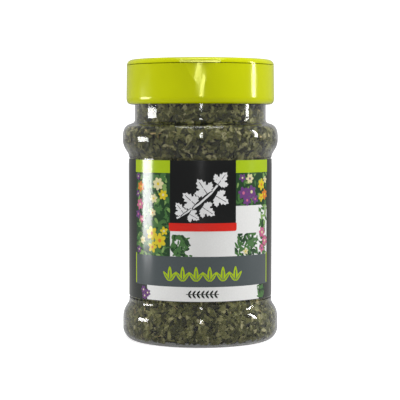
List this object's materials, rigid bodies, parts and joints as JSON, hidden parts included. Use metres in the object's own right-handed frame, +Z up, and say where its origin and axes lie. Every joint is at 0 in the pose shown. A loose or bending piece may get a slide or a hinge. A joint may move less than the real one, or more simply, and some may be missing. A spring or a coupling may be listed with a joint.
{
  "type": "spice jar of dried parsley",
  "caption": "Clear double-bulged spice jar of dried parsley with a wraparound label and a screw cap that has a sifter flap and a spoon flap.",
  "frame": {"origin": "centre of the jar's base, on the surface that it stands on", "axes": "+Z up along the jar's axis, -Y towards the front of the label and the sifter flap, +X to the right seen from the front"},
  "size_m": [0.0698, 0.0698, 0.1256],
  "materials": {
    "clear_plastic": "gloss",
    "label_paper": "satin",
    "dried_leaf": "matte",
    "liner_foam": "matte",
    "lime_plastic": "gloss"
  },
  "bodies": {
    "jar": {"jar_body": "clear_plastic", "label": "label_paper", "parsley_fill": "dried_leaf"},
    "liner": {"sealing_ring": "liner_foam"},
    "cap": {"cap_base": "lime_plastic"},
    "front_flap": {"sifter_flap": "lime_plastic"},
    "rear_flap": {"spoon_flap": "lime_plastic"}
  },
  "joints": [
    {"name": "cap_lift", "type": "slide", "parent": "jar", "child": "liner", "axis": [0, 0, 1], "range_m": [0, 0.0042]},
    {"name": "cap_turn", "type": "hinge", "parent": "liner", "child": "cap", "pos_m": [0, 0, 0.123], "axis": [0, 0, 1], "range_deg": [0, 359]},
    {"name": "sifter_hinge", "type": "hinge", "parent": "cap", "child": "front_flap", "pos_m": [0, -0.00515, 0.1256], "axis": [-1, 0, 0], "range_deg": [0, 95]},
    {"name": "spoon_hinge", "type": "hinge", "parent": "cap", "child": "rear_flap", "pos_m": [0, 0.00515, 0.1256], "axis": [1, 0, 0], "range_deg": [0, 95]}
  ],
  "couplings": [
    {"joint": "cap_lift", "follows": "cap_turn", "m_per_rad": 0.00066845}
  ]
}
